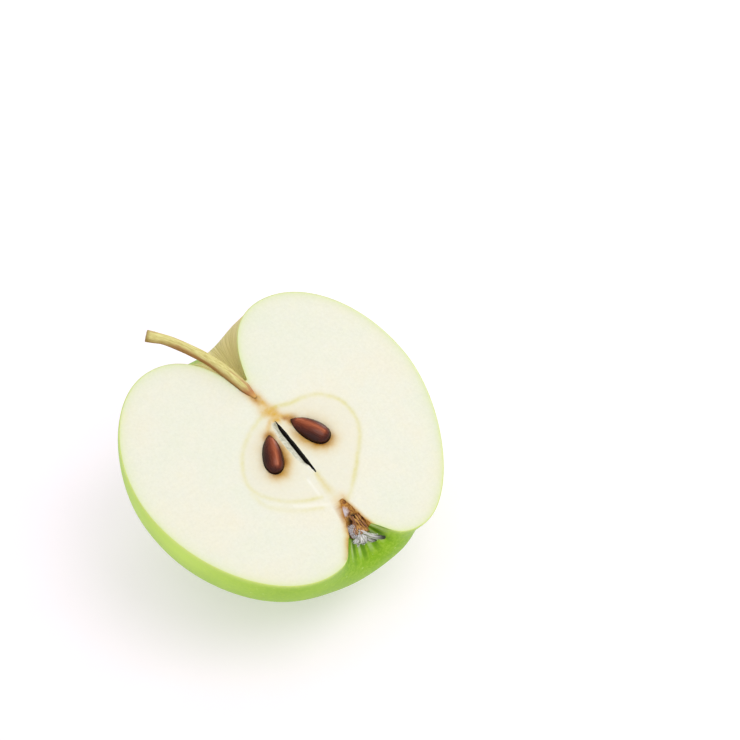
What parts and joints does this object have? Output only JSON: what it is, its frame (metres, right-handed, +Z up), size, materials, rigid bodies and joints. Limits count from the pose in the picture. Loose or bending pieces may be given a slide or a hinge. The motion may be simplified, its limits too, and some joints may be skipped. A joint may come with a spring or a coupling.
{
  "type": "green apple half",
  "caption": "Half of a green apple cut lengthwise, lying on its skin with the pale cut face up, showing core, seeds, stalk and dried calyx.",
  "frame": {"origin": "centre of the small flat spot of skin that the half rests on", "axes": "+Z up, +Y towards the stalk end, which is the higher end, +X towards the right-hand lobe as seen with the stalk end away. The cut face leans 17 degrees about X, calyx end lowest"},
  "size_m": [0.07, 0.0656, 0.0466],
  "materials": {
    "apple": "moist cream-white flesh on the cut face, thin waxy green skin round the outside",
    "stalk": "dry woody stalk, olive to tan",
    "seed": "smooth glossy brown seed coat",
    "calyx": "dried, fuzzy, grey-brown"
  },
  "bodies": {
    "root": {"apple_half": "apple", "stalk": "stalk", "seed_left": "seed", "seed_right": "seed", "calyx": "calyx"}
  },
  "joints": []
}
